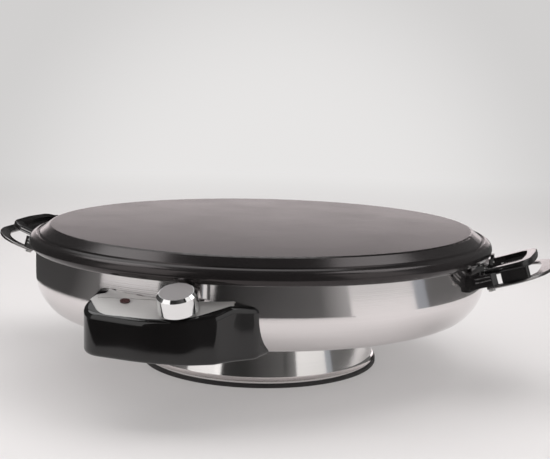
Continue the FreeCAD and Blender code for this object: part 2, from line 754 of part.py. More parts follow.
# Control panel: a satin plate let into the housing's sloping top, with one pressed line.
panel_blank = common(
    "panel_blank",
    upright("panel_column", PANEL_OUTLINE, 60, 112),
    above_panel("panel_slope_slab", -size.panel_gauge.value, size.panel_gauge),
)
panel_fitted = cut("panel_fitted", panel_blank, bowl_solid)
groove_start = on_panel(*PANEL_GROOVE[0])
groove_end = on_panel(*PANEL_GROOVE[1])
groove_turn = math.degrees(math.atan2((groove_end - groove_start).y, (groove_end - groove_start).x))
groove = block("panel_groove", (groove_end - groove_start).Length, GROOVE_WIDTH, 2)
groove.Placement = FreeCAD.Placement(
    groove_start + slope.multVec(FreeCAD.Vector(0, 0, -GROOVE_DEPTH)),
    slope.multiply(FreeCAD.Rotation(FreeCAD.Vector(0, 0, 1), groove_turn)))
panel_grooved = cut("panel_grooved", panel_fitted, groove)
panel_bored = cut("panel_bored", panel_grooved, bush_hole)
keep(cut("panel_lamp_bored", panel_bored, lamp_hole), "control_panel")

# Thermostat: a square body with a threaded bush through the panel, held by a nut.
under_skin = -(size.panel_gauge + size.housing_skin)
thermostat_box = stand_on_panel(
    block("thermostat_box", size.thermostat_side, size.thermostat_side, size.thermostat_depth),
    knob_spot + slope.multVec(FreeCAD.Vector(-size.thermostat_side.value / 2,
                                             3 - size.thermostat_side.value / 2, 0)),
    (under_skin - size.thermostat_depth).value)
bush = panel_cylinder("thermostat_bush", size.bush_radius, size.knob_gap - 0.3 - under_skin, knob_spot,
                      under_skin.value)
shaft_bore = panel_cylinder("shaft_bore", size.shaft_radius + size.shaft_play, 40, knob_spot,
                            under_skin.value - 10)
keep(cut("thermostat_bored", fuse("thermostat_blank", thermostat_box, bush), shaft_bore), "thermostat_body")
nut_blank = panel_cylinder("nut_blank", 7.5, size.knob_gap - 0.5, knob_spot, 0)
keep(cut("nut_bored", nut_blank, bush), "thermostat_nut")

# Knob, its cap and the shaft that they turn.
knob_bottom = size.knob_gap
knob_top = size.knob_gap + size.knob_height
knob_body = turned("knob_body", [
    (0, knob_bottom + 3),
    (10.5, knob_bottom + 3),
    (10.5, knob_bottom),
    (size.knob_radius - 0.4, knob_bottom),
    (size.knob_radius, knob_bottom + 0.6),
    (size.knob_radius - 0.35, knob_top - size.knob_bevel),
    (size.knob_cap_radius + 0.3, knob_top),
    (size.knob_cap_radius, knob_top),
    (size.knob_cap_radius, knob_top - 1.2),
    (0, knob_top - 1.2),
])
stand_on_panel(knob_body, knob_spot)
shaft = panel_cylinder("shaft_rod", size.shaft_radius, 25, knob_spot, under_skin.value - 9.6)
keep(shaft, "thermostat_shaft")
keep(cut("knob_bored", knob_body, shaft), "knob")
keep(panel_cylinder("knob_disc", size.knob_cap_radius - 0.02, 1.3, knob_spot, knob_top.value - 1.2),
     "knob_cap")

# Pilot lamp: an oval window on the panel over a small lamp body.
flat = size.lamp_length - size.lamp_width
window = slab("lamp_window_body", [
    (-flat / 2, -size.lamp_width / 2),
    (flat / 2, -size.lamp_width / 2, size.lamp_width / 2 + 0.001),
    (flat / 2, size.lamp_width / 2),
    (-flat / 2, size.lamp_width / 2, size.lamp_width / 2 + 0.001),
], 1.2)
stand_on_panel(window, lamp_spot)
keep(window, "lamp_window")
keep(panel_cylinder("lamp_bulb", 2.9, 14, lamp_spot, -14.02), "lamp_body")

# Sensor bulb and its capillary: the bulb feels the plate from below.
BULB_LEVEL = 116.5
bulb = cylinder("bulb_rod", 3, 60, x=-30, y=-60, z=BULB_LEVEL, axis=(0, 1, 0), angle=90)
keep(bulb, "sensor_bulb")
stand = [
    block("bulb_foot", 16, 12, 1.5, x=-8, y=-66, z=reflector_top),
    block("bulb_post", 10, 1.5, Size(BULB_LEVEL - 3) - reflector_top, x=-5, y=-60.75, z=reflector_top),
    block("bulb_shelf", 20, 8, 1.2, x=-10, y=-64, z=BULB_LEVEL - 4.2),
]
keep(fuse("bulb_stand", *stand), "sensor_bracket")
capillary_end = knob_spot + slope.multVec(FreeCAD.Vector(4, size.thermostat_side.value / 2 + 3, -15))
keep(tube("capillary_pipe", [
    (30, -60, BULB_LEVEL),
    (56, -60, BULB_LEVEL),
    (56, -60, 70),
    (56, -170, 70),
    (capillary_end.x, -175, capillary_end.z),
    (capillary_end.x, capillary_end.y, capillary_end.z),
], 1, 8), "capillary_tube")

# Appliance inlet: a moulded socket through the bowl's back wall, with three pins.
INLET_HALF_WIDTH = 17
INLET_HALF_HEIGHT = 13
inlet_front = size.bowl_radius + 3
inlet_block = block("inlet_block", 2 * INLET_HALF_WIDTH, 21, 2 * INLET_HALF_HEIGHT, x=-INLET_HALF_WIDTH,
                    y=inlet_front - 21, z=size.inlet_level - INLET_HALF_HEIGHT)
socket = block("inlet_socket", 24, 16, 18, x=-12, y=inlet_front - 15, z=size.inlet_level - 9)
keep(cut("inlet_hollow", inlet_block, socket), "inlet_body")
pins = []
for number, (pin_x, pin_z) in enumerate([(-7, -2), (0, -6), (7, -2)]):
    pins.append(block("inlet_pin_%d" % number, 2, 12, 4, x=pin_x - 1, y=inlet_front - 15,
                      z=size.inlet_level + pin_z - 2))
keep(group("inlet_pin_set", *pins), "inlet_pins")

# Wiring: sleeved leads from the inlet to the terminal block, and on to the thermostat.
SLEEVE = 3
rear_lead = cylinder("rear_lead", SLEEVE, inlet_front - 21 - terminal_y - 16, x=0, y=inlet_front - 21,
                     z=70, axis=(1, 0, 0), angle=90)
front_lead = cylinder("front_lead", SLEEVE, 42, x=0, y=terminal_y - 10, z=70, axis=(1, 0, 0), angle=90)
keep(group("lead_set", rear_lead, front_lead), "wiring")

# Strap handles: a D of flat bar, rising outwards, carried by a black bracket on the bowl.
half = size.strap_half_width
inner = size.strap_half_width - size.strap_leg_width
inner_reach = size.strap_reach - size.strap_end_width
STRAP_ROOT = 2
END_BOW = 3
STRAP_OUTLINE = [
    (STRAP_ROOT, -half),
    (size.strap_reach - END_BOW, -half, size.strap_corner),
    (size.strap_reach, 0, 200),
    (size.strap_reach - END_BOW, half, size.strap_corner),
    (STRAP_ROOT, half),
    (STRAP_ROOT, inner),
    (inner_reach - END_BOW, inner, size.strap_corner - 8),
    (inner_reach, 0, 180),
    (inner_reach - END_BOW, -inner, size.strap_corner - 8),
    (STRAP_ROOT, -inner),
]
ARM_START = -17
ARM_TIP = 11.5
INLAY_START = -6
INLAY_LENGTH = 13
INLAY_LEVELS = (4.6, 7.6)
STRAP_EDGE = 0.9
PAD_LOW = 87
PAD_HIGH = 101
PAD_HALF_WIDTH = 55
WALL_SCREWS = (-18, 18)
GRIP_START = 15
GRIP_LENGTH = 22.5
GRIP_WIDTH = 8
GRIP_MIDDLE = 44.5


def tilted(thing, side, x=0, y=0, z=0):
    """Puts a thing in a strap's own frame: X along its legs, Z out of its upper face."""
    turn = FreeCAD.Rotation(FreeCAD.Vector(0, 0, 1), 0 if side > 0 else 180)
    lean = FreeCAD.Rotation(FreeCAD.Vector(0, 1, 0), -size.strap_tilt.value)
    start = FreeCAD.Vector(size.strap_start.value, 0, size.strap_level.value)
    rotation = turn.multiply(lean)
    at = turn.multVec(start) + rotation.multVec(FreeCAD.Vector(x, y, z))
    thing.Placement = FreeCAD.Placement(at, rotation)
    return thing


def strap_handle(side, word):
    strap = rounded_slab("strap_" + word, STRAP_OUTLINE, size.strap_gauge)
    round_edges(strap, STRAP_EDGE, lambda edge: (
        abs(edge.Vertexes[0].Point.z - edge.Vertexes[-1].Point.z) < 1e-4
        and max(v.Point.x for v in edge.Vertexes) > STRAP_ROOT + 1), "strap_rounded_" + word)
    tilted(strap, side)
    outer = size.strap_half_width.value
    width = size.bracket_arm.value
    pieces = []
    inlays = []
    screws = []
    for number, leg in enumerate((-1, 1)):
        name = "%s_%d" % (word, number)
        middle = leg * (outer - width / 2)
        arm = slab("arm_" + name, [
            (ARM_START, -size.bracket_arm / 2),
            (ARM_TIP - 4, -size.bracket_arm / 2),
            (ARM_TIP, 0),
            (ARM_TIP - 4, size.bracket_arm / 2),
            (ARM_START, size.bracket_arm / 2),
        ], size.bracket_rise)
        pieces.append(tilted(arm, side, 0, middle, size.strap_gauge.value))
        for line, level in enumerate(INLAY_LEVELS):
            strip = block("inlay_%s_%d" % (name, line), INLAY_LENGTH, 0.5, 1)
            across = outer if leg > 0 else -outer - 0.5
            inlays.append(tilted(strip, side, INLAY_START, across, size.strap_gauge.value + level))
        head = cylinder("strap_screw_head_" + name, size.screw_head, 1.6)
        shank = cylinder("strap_screw_shank_" + name, size.screw_radius, 10)
        screw_y = leg * (outer - size.strap_leg_width.value / 2)
        tilted(head, side, STRAP_ROOT + 3.2, screw_y, -1.6)
        tilted(shank, side, STRAP_ROOT + 3.2, screw_y, -1.6)
        screws.append(fuse("strap_screw_" + name, head, shank))
    ring_outside = cylinder("pad_outside_" + word, size.bracket_radius, PAD_HIGH - PAD_LOW, z=PAD_LOW)
    ring_inside = cylinder("pad_inside_" + word, size.bowl_radius, PAD_HIGH, z=PAD_LOW - 1)
    pad_box = block("pad_box_" + word, 60, 2 * PAD_HALF_WIDTH, 60, y=-PAD_HALF_WIDTH, z=PAD_LOW - 10)
    place(pad_box, x=180 if side > 0 else -240, y=-PAD_HALF_WIDTH, z=PAD_LOW - 10)
    pad = common("pad_" + word, cut("pad_ring_" + word, ring_outside, ring_inside), pad_box)
    screw_set = keep(group("strap_screw_set_" + word, *screws), "handle_screws_" + word)
    moulding = fuse("bracket_blank_" + word, pad, *pieces)
    fitted = cut("bracket_fitted_" + word, moulding, bowl_solid)
    drilled = cut("bracket_drilled_" + word, fitted, screw_set)
    wall_screws = []
    for number, across in enumerate(WALL_SCREWS):
        name = "%s_%d" % (word, number)
        reach = math.sqrt((size.bowl_radius.value - size.bowl_gauge.value) ** 2 - across ** 2) - 1.9
        head = cylinder("wall_screw_head_" + name, size.screw_head, 1.7)
        shank = cylinder("wall_screw_shank_" + name, size.screw_radius, 5)
        for part in (head, shank):
            place(part, x=side * reach, y=across, z=93, axis=(0, 1, 0), angle=90 * side)
        wall_screws.append(fuse("wall_screw_" + name, head, shank))
    wall_set = keep(group("wall_screw_set_" + word, *wall_screws), "bracket_screws_" + word)
    keep(cut("bracket_finished_" + word, drilled, wall_set), "handle_bracket_" + word)
    keep(cut("strap_drilled_" + word, strap, screw_set), "handle_strap_" + word)
    keep(group("inlay_set_" + word, *inlays), "handle_inlays_" + word)
    grip = rounded_slab("grip_" + word, [
        (0, -GRIP_WIDTH / 2),
        (GRIP_LENGTH, -GRIP_WIDTH / 2, 3),
        (GRIP_LENGTH, GRIP_WIDTH / 2, 3),
        (0, GRIP_WIDTH / 2),
    ], size.bracket_rise)
    round_edges(grip, 0.8, lambda edge: min(v.Point.z for v in edge.Vertexes) > 1, "grip_rounded_" + word)
    keep(tilted(grip, side, GRIP_START, -GRIP_MIDDLE, size.strap_gauge.value), "grip_block_" + word)


strap_handle(1, "right")
strap_handle(-1, "left")

# Bowl shell: the hollow pan with its holes for the inlet, the thermostat and the screws.
WINDOW_LOW = 60
WINDOW_HEIGHT = 29
window_cut = block("bowl_window", 60, 30, WINDOW_HEIGHT, x=-32, y=-215, z=WINDOW_LOW)
shell_cuts = [inlet_block, window_cut, nodes["pedestal_screws"], nodes["housing_fixing_screws"],
              nodes["bracket_screws_left"], nodes["bracket_screws_right"]]
shell = bowl_hollow
for number, tool in enumerate(shell_cuts):
    shell = cut("bowl_cut_%d" % number, shell, tool)
keep(shell, "bowl_shell")

# Reflector: its sheet drilled for the element's legs, the capillary and the clip screws.
leg_holes = block("leg_holes", 30, 14, 6, x=-15, y=terminal_y - 7, z=size.reflector_floor - 2)
capillary_hole = cylinder("capillary_hole", 3, 6, x=56, y=-60, z=size.reflector_floor - 2)
dish = reflector_sheet
for number, tool in enumerate([leg_holes, capillary_hole, nodes["reflector_screws"]]):
    dish = cut("reflector_cut_%d" % number, dish, tool)
keep(dish, "heat_reflector")

# Loop handles of the plate: black mouldings with a sunk floor, on bright rim brackets.
loop_half = size.loop_half_width
loop_inner = size.loop_half_width - size.loop_bar
LOOP_OUTLINE = [
    (0, -loop_half),
    (size.loop_reach - 2.2, -loop_half, 14),
    (size.loop_reach + 0.5, 0, 150),
    (size.loop_reach - 2.2, loop_half, 14),
    (0, loop_half),
]
FLOOR_START = 10
LOOP_HOLLOW = [
    (-1, -loop_inner),
    (size.loop_reach - 10, -loop_inner, 6.5),
    (size.loop_reach - 7.6, 0, 140),
    (size.loop_reach - 10, loop_inner, 6.5),
    (-1, loop_inner),
]
LOOP_FLOOR = 2
LOOP_LINE_DEPTHS = (1.9, 4.2)


def leaning(thing, side, x=0, y=0, z=0):
    """Puts a thing in a loop's own frame: X along its arms, Z out of its upper face."""
    turn = FreeCAD.Rotation(FreeCAD.Vector(0, 0, 1), 0 if side > 0 else 180)
    lean = FreeCAD.Rotation(FreeCAD.Vector(0, 1, 0), -size.loop_tilt.value)
    start = FreeCAD.Vector(size.loop_start.value, 0, size.loop_level.value)
    rotation = turn.multiply(lean)
    at = turn.multVec(start) + rotation.multVec(FreeCAD.Vector(x, y, z))
    thing.Placement = FreeCAD.Placement(at, rotation)
    return thing


def loop_handle(side, word):
    ring_body = rounded_slab("loop_" + word, LOOP_OUTLINE, size.loop_gauge)
    round_edges(ring_body, 1.6, lambda edge: (
        abs(edge.Vertexes[0].Point.z - edge.Vertexes[-1].Point.z) < 1e-4
        and max(v.Point.x for v in edge.Vertexes) > 1), "loop_rounded_" + word)
    leaning(ring_body, side, z=-size.loop_gauge.value)
    hollow_body = rounded_slab("loop_hollow_" + word, LOOP_HOLLOW, size.loop_gauge)
    leaning(hollow_body, side, z=LOOP_FLOOR - size.loop_gauge.value)
    gap = block("loop_gap_" + word, FLOOR_START + 1, loop_inner * 2, 20)
    leaning(gap, side, -1, -loop_inner.value, -12)
    opened = cut("loop_opened_" + word, cut("loop_sunk_" + word, ring_body, hollow_body), gap)
    pins_of_loop = []
    tabs = []
    strips = []
    for number, arm in enumerate((-1, 1)):
        name = "%s_%d" % (word, number)
        low_y = arm * loop_half.value if arm < 0 else loop_inner.value + 0.2
        leg_x = size.loop_start - 2.6 if side > 0 else -size.loop_start
        leg = block("tab_leg_" + name, 2.6, size.loop_bar - 0.2, size.rim_foot - 97, x=leg_x, y=low_y, z=97)
        tab_x = size.loop_start - 7.2 if side > 0 else -size.loop_start
        tab = block("tab_top_" + name, 7.2, size.loop_bar - 0.2, 2, x=tab_x, y=low_y, z=size.rim_foot - 2)
        tabs.append(fuse("tab_" + name, leg, tab))
        pin = cylinder("loop_pin_" + name, size.screw_radius, 12)
        place(pin, x=side * (size.loop_start.value - 2.4), y=low_y + size.loop_bar.value / 2, z=100.2,
              axis=(0, 1, 0), angle=90 * side)
        pins_of_loop.append(pin)
        for line, level in enumerate(LOOP_LINE_DEPTHS):
            strip = block("loop_inlay_%s_%d" % (name, line), 24, 0.4, 0.8)
            across = loop_half.value if arm > 0 else -loop_half.value - 0.4
            strips.append(leaning(strip, side, 1, across, -level - 0.4))
    pin_set = keep(group("loop_pin_set_" + word, *pins_of_loop), "plate_handle_pins_" + word)
    keep(cut("loop_drilled_" + word, opened, pin_set), "plate_handle_" + word)
    tab_set = group("tab_set_" + word, *tabs)
    keep(cut("tabs_drilled_" + word, tab_set, pin_set), "plate_handle_tabs_" + word)
    keep(group("strip_set_" + word, *strips), "plate_handle_inlays_" + word)


loop_handle(1, "right")
loop_handle(-1, "left")

doc.recompute()

# Check every object and every sub-part, then write one file for each sub-part.
failed = [thing.Name + ": " + thing.getStatusString() for thing in doc.Objects
          if "Invalid" in thing.State or "Error" in thing.State]
for name, thing in nodes.items():
    if thing.Shape.isNull() or not thing.Shape.isValid() or not thing.Shape.Solids:
        failed.append("sub-part " + name)
if failed:
    raise RuntimeError("failed: " + ", ".join(failed))
os.makedirs("parts", exist_ok=True)
for name, thing in nodes.items():
    thing.Shape.exportStep("parts/%s.step" % name)
print(len(nodes), "sub-parts")
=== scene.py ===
import math
import bmesh
import bpy
from mathutils import Matrix, Vector


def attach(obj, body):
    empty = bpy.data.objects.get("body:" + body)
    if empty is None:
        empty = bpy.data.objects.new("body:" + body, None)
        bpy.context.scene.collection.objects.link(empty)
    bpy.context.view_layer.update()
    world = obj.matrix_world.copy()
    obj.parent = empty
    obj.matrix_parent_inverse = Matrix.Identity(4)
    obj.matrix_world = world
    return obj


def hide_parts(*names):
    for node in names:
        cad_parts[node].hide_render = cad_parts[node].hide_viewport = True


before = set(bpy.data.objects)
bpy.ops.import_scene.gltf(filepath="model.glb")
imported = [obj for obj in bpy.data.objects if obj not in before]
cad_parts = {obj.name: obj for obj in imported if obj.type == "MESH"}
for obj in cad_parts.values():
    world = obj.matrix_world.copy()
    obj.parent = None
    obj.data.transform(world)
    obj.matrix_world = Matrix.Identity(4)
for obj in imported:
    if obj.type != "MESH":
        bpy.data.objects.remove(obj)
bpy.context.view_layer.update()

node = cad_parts
scene = bpy.context.scene

# The camera stands in front of the cooker and a little to the right, just above the level
# of the plate, so that the cooking surface shows as a narrow oval.
FORWARD = Vector((-0.31453, 0.938581, -0.141903))
UPWARD = Vector((-0.0672155, 0.1270934, 0.9896107))
camera_data = bpy.data.cameras.new("front_camera")
camera_data.lens = 65.672
camera_data.sensor_width = 36
camera_data.clip_start = 0.01
camera = bpy.data.objects.new("front_camera", camera_data)
camera.matrix_world = Matrix((FORWARD.cross(UPWARD), UPWARD, -FORWARD)).transposed().to_4x4()
camera.location = (0.305013, -0.870981, 0.251407)
scene.collection.objects.link(camera)
scene.camera = camera
scene.view_settings.view_transform = "Standard"


# The table is a pale matt sheet that runs back without an edge. Far out it fades into the
# backdrop, a plain pale wall that is lightest in the middle of the picture. Near the cooker,
# camera and glossy rays still see three tenths of that backdrop glow on it. This is painted
# light that lifts the table's shadow round the stand.
def blank_material(name):
    """A material with its node tree and its output."""
    material = bpy.data.materials.new(name)
    material.use_nodes = True
    tree = material.node_tree
    tree.nodes.clear()
    output = tree.nodes.new("ShaderNodeOutputMaterial")
    return material, tree, output


def add(tree, kind, settings=None, **inputs):
    """Adds a shader node. Each input is a value or a (node, socket name) to link from."""
    made = tree.nodes.new("ShaderNode" + kind)
    for name, value in (settings or {}).items():
        setattr(made, name, value)
    for name, value in inputs.items():
        socket = made.inputs[name.replace("_", " ")]
        if isinstance(value, tuple) and isinstance(value[0], bpy.types.Node):
            tree.links.new(value[0].outputs[value[1]], socket)
        elif socket.type == "RGBA":
            socket.default_value = (*value, 1)
        else:
            socket.default_value = value
    return made


def joined(tree, kind, operation, *sources):
    """A Math or VectorMath node fed by other nodes' first outputs, or by values."""
    made = add(tree, kind, {"operation": operation})
    for socket, source in zip(made.inputs, sources):
        if isinstance(source, bpy.types.Node):
            tree.links.new(source.outputs[0], socket)
        else:
            socket.default_value = source
    return made


def eased(tree, value, start, end, first, last):
    """A smooth change from first to last while a value goes from start to end."""
    return add(tree, "MapRange", {"interpolation_type": "SMOOTHSTEP"}, Value=value, From_Min=start,
               From_Max=end, To_Min=first, To_Max=last)


BACKDROP_TINT = (1.0, 0.985, 0.978)
BACKDROP_EDGE = 0.64
BACKDROP_MIDDLE = 0.80
EDGE_COSINE = 0.955
MIDDLE_COSINE = 0.996


def backdrop_light(tree, direction):
    """How bright the backdrop is in a direction, by its cosine to the middle of the view."""
    unit = joined(tree, "VectorMath", "NORMALIZE", direction)
    along = joined(tree, "VectorMath", "DOT_PRODUCT", unit, FORWARD)
    return eased(tree, (along, "Value"), EDGE_COSINE, MIDDLE_COSINE, BACKDROP_EDGE, BACKDROP_MIDDLE)


def seen_by(tree, *rays):
    """One for rays of the one or two kinds named, as the Light Path node tells them."""
    path = add(tree, "LightPath")
    either = joined(tree, "Math", "MAXIMUM")
    for socket, ray in zip(either.inputs, (rays[0], rays[-1])):
        tree.links.new(path.outputs[ray], socket)
    return either


def blended(tree, factor, first, second):
    """The first shader where the factor is 0, the second where it is 1."""
    mix = add(tree, "MixShader")
    for socket, source in zip(mix.inputs, (factor, first, second)):
        tree.links.new(source.outputs[0], socket)
    return mix


TABLE_RADIUS = 30
FADE_START = 0.4
FADE_END = 2.0
PAINTED_LIGHT_NEAR = 0.3

table_material, tree, output = blank_material("pale_table")
place = add(tree, "TexCoord")
reach = add(tree, "VectorMath", {"operation": "LENGTH"})
tree.links.new(place.outputs["Object"], reach.inputs[0])
# The share of backdrop glow never drops below three tenths near the cooker: painted light over the table's
# shadow.
far = eased(tree, (reach, "Value"), FADE_START, FADE_END, PAINTED_LIGHT_NEAR, 1.0)
from_camera = add(tree, "VectorMath", {"operation": "SUBTRACT"})
tree.links.new(place.outputs["Object"], from_camera.inputs[0])
from_camera.inputs[1].default_value = camera.location
speckle = add(tree, "TexNoise", Vector=(place, "Object"), Scale=900.0, Detail=2.0)
tooth = add(tree, "Bump", Strength=0.05, Distance=0.0002, Height=(speckle, 0))
table_matt = add(tree, "BsdfPrincipled", Base_Color=(0.70, 0.676, 0.673), Roughness=0.65, Normal=(tooth, 0))
table_glow = add(tree, "Emission", Color=BACKDROP_TINT)
tree.links.new(backdrop_light(tree, from_camera).outputs[0], table_glow.inputs["Strength"])
fade = joined(tree, "Math", "MULTIPLY", seen_by(tree, "Is Camera Ray", "Is Glossy Ray"), far)
tree.links.new(blended(tree, fade, table_matt, table_glow).outputs[0], output.inputs["Surface"])

table_mesh = bpy.data.meshes.new("table_top")
sheet = bmesh.new()
bmesh.ops.create_circle(sheet, cap_ends=True, segments=96, radius=TABLE_RADIUS)
sheet.to_mesh(table_mesh)
sheet.free()
table_mesh.materials.append(table_material)
table = bpy.data.objects.new("table_top", table_mesh)
scene.collection.objects.link(table)

# The room is one even pale light. What the cooker mirrors of it is a band of light just above
# the horizon, which the plate shows as a soft sheen over its far side.
FILL_LIGHT = 0.39
HORIZON_LIGHT = 1.65
BAND_START = 0.06
BAND_END = 0.20

room = bpy.data.worlds.new("room")
room.use_nodes = True
tree = room.node_tree
tree.nodes.clear()
output = tree.nodes.new("ShaderNodeOutputWorld")
sky = add(tree, "TexCoord")
look_out = joined(tree, "VectorMath", "NORMALIZE")
tree.links.new(sky.outputs["Generated"], look_out.inputs[0])
backdrop = add(tree, "Background", Color=BACKDROP_TINT)
tree.links.new(backdrop_light(tree, look_out).outputs[0], backdrop.inputs["Strength"])
fill = add(tree, "Background", Color=(0.94, 0.905, 0.90), Strength=FILL_LIGHT)
rise = add(tree, "SeparateXYZ", Vector=(look_out, 0))
horizon = eased(tree, (rise, "Z"), BAND_START, BAND_END, HORIZON_LIGHT, 0.0)
mirrored = add(tree, "Background", Color=(1.0, 0.90, 0.905), Strength=(horizon, 0))
lit = blended(tree, seen_by(tree, "Is Glossy Ray"), fill, mirrored)
seen = seen_by(tree, "Is Camera Ray", "Is Transmission Ray")
tree.links.new(blended(tree, seen, lit, backdrop).outputs[0], output.inputs["Surface"])
scene.world = room


# The lamps are soft boxes: tall ones left and right, a wide one overhead and one behind. Two
# small high ones light the plate's lip. Azimuths count from +X, in degrees.
LAMP_AIM = Vector((0, 0, 0.06))


def round_table(azimuth, distance, height):
    """The place at an azimuth and a distance from the cooker's axis."""
    angle = math.radians(azimuth)
    return Vector((distance * math.cos(angle), distance * math.sin(angle), height))


def soft_box(name, azimuth, distance, height, width, tall, power, reflected=False):
    """A rectangular lamp that faces the cooker. Glossy pieces show only the reflected ones."""
    lamp = bpy.data.lights.new(name, "AREA")
    lamp.shape = "RECTANGLE"
    lamp.size = width
    lamp.size_y = tall
    lamp.energy = power
    stand = bpy.data.objects.new(name, lamp)
    stand.location = round_table(azimuth, distance, height)
    stand.rotation_euler = (LAMP_AIM - stand.location).to_track_quat("-Z", "Y").to_euler()
    stand.visible_camera = False
    stand.visible_glossy = reflected
    scene.collection.objects.link(stand)


soft_box("left_soft_box", azimuth=-132, distance=1.3, height=0.55, width=0.90, tall=0.95, power=6)
soft_box("right_soft_box", azimuth=-10, distance=1.3, height=0.55, width=0.80, tall=0.95, power=7.5)
soft_box("overhead_soft_box", azimuth=90, distance=0.25, height=1.5, width=1.5, tall=1.3, power=14)
soft_box("rear_soft_box", azimuth=128, distance=1.2, height=1.4, width=1.6, tall=1.2, power=5.5,
         reflected=True)
soft_box("left_high_box", azimuth=-166, distance=0.78, height=1.0, width=0.7, tall=0.6, power=3.2,
         reflected=True)
soft_box("right_high_box", azimuth=19, distance=0.74, height=1.15, width=0.7, tall=0.7, power=3.7,
         reflected=True)


# Round the cooker stand curved cards whose feet run in over the table. The steel shows the
# pale ones as its bright bands and the dark ones as its dark middle.
CARD_STEP = 3
FEWEST_STEPS = 4
GLOW_RISE = 0.15
PALE_SHAPE = {"radius": 1.0, "high": 1.1, "run_in": 0.37}
SIDE_SHAPE = {"radius": 0.98, "high": 1.0, "run_in": 0.49}


def card(name, start, end, low_glow, high_glow, radius=0.99, high=0.9, run_in=0.54, brighter=1.0,
         tint=(1.0, 0.985, 0.975), lift=0.001):
    """A card between two azimuths, that only reflections see. It glows from low_glow at its
    foot to high_glow, and gets so many times brighter towards its end."""
    material, tree, output = blank_material(name)
    place = add(tree, "TexCoord")
    split = add(tree, "SeparateXYZ", Vector=(place, "Object"))
    glow = add(tree, "MapRange", Value=(split, "Z"), From_Min=0.0, From_Max=GLOW_RISE * high,
               To_Min=low_glow, To_Max=high_glow)
    turn = add(tree, "TexGradient", {"gradient_type": "RADIAL"}, Vector=(place, "Object"))
    gain = add(tree, "MapRange", Value=(turn, 1), From_Min=0.5 + start / 360, From_Max=0.5 + end / 360,
               To_Min=1.0, To_Max=brighter)
    light = add(tree, "Emission", Color=tint)
    tree.links.new(joined(tree, "Math", "MULTIPLY", glow, gain).outputs[0], light.inputs["Strength"])
    tree.links.new(light.outputs[0], output.inputs["Surface"])
    steps = max(FEWEST_STEPS, round(abs(end - start) / CARD_STEP))
    shape = bmesh.new()
    rows = []
    for step in range(steps + 1):
        azimuth = start + (end - start) * step / steps
        stations = ((radius - run_in, lift), (radius, lift), (radius, high))
        rows.append([shape.verts.new(round_table(azimuth, r, z)) for r, z in stations])
    for before, after in zip(rows, rows[1:]):
        for lower in range(2):
            shape.faces.new((before[lower], after[lower], after[lower + 1], before[lower + 1]))
    mesh = bpy.data.meshes.new(name)
    shape.to_mesh(mesh)
    shape.free()
    mesh.materials.append(material)
    made = bpy.data.objects.new(name, mesh)
    scene.collection.objects.link(made)
    for ray in ("camera", "diffuse", "shadow", "transmission", "volume_scatter"):
        setattr(made, "visible_" + ray, False)


card("left_dark_card", start=-215, end=-158, low_glow=0.06, high_glow=0.07, run_in=0.55)
card("left_fade_card", start=-158, end=-141, low_glow=0.06, high_glow=0.07, run_in=0.55, brighter=2.8)
card("left_pale_card", start=-141, end=-112, low_glow=0.78, high_glow=1.2, **PALE_SHAPE)
card("left_edge_card", start=-112, end=-106, low_glow=1.2, high_glow=1.2, radius=0.97, high=1.1,
     run_in=0.01)
card("near_dark_card", start=-141, end=-112, low_glow=0.02, high_glow=0.02, radius=0.62, high=0.002,
     run_in=0.17)
card("front_dark_card", start=-112, end=-86, low_glow=0.02, high_glow=0.026)
card("thin_white_card", start=-91.3, end=-88.6, low_glow=0.7, high_glow=0.7, radius=0.98, high=0.003,
     run_in=0.34, lift=0.002)
card("front_fade_card", start=-86, end=-47, low_glow=0.022, high_glow=0.02, brighter=5.5)
card("front_edge_card", start=-47, end=-35, low_glow=0.125, high_glow=0.06, brighter=3.4)
card("right_pale_card", start=-35, end=-4, low_glow=0.68, high_glow=1.0, **PALE_SHAPE)
card("cool_card", start=-4, end=3, low_glow=0.40, high_glow=0.42, tint=(0.88, 0.93, 1.0), **SIDE_SHAPE)
card("right_grey_card", start=3, end=75, low_glow=0.14, high_glow=0.14, **SIDE_SHAPE)


# The bowl is drawn from stainless sheet, spun true and polished on the lathe. Its fine rings
# draw every reflection out up and down the wall.
def tones(tree, factor, dark, light):
    """A colour between two, chosen by a factor node's first output."""
    made = tree.nodes.new("ShaderNodeMix")
    made.data_type = "RGBA"
    colours = [socket for socket in made.inputs if socket.type == "RGBA"]
    for socket, colour in zip(colours, (dark, light)):
        socket.default_value = (*colour, 1)
    tree.links.new(factor.outputs[0], made.inputs[0])
    return next(socket for socket in made.outputs if socket.type == "RGBA")


def varied(tree, noise, low, high):
    """A value that wanders between low and high with a noise."""
    return add(tree, "MapRange", Value=(noise, 0), From_Min=0.3, From_Max=0.7, To_Min=low, To_Max=high)


def dress(material, *names):
    """Gives a finish to pieces that keep their solid's shape."""
    for name in names:
        for slot in node[name].material_slots:
            slot.material = material


def from_axis(tree, place):
    """Vectors of (distance from the Z axis, height), for marks that run in rings."""
    split = add(tree, "SeparateXYZ", Vector=(place, "Object"))
    flat = add(tree, "CombineXYZ", X=(split, "X"), Y=(split, "Y"))
    out = joined(tree, "VectorMath", "LENGTH", flat)
    return add(tree, "CombineXYZ", X=(out, "Value"), Y=(split, "Z"))


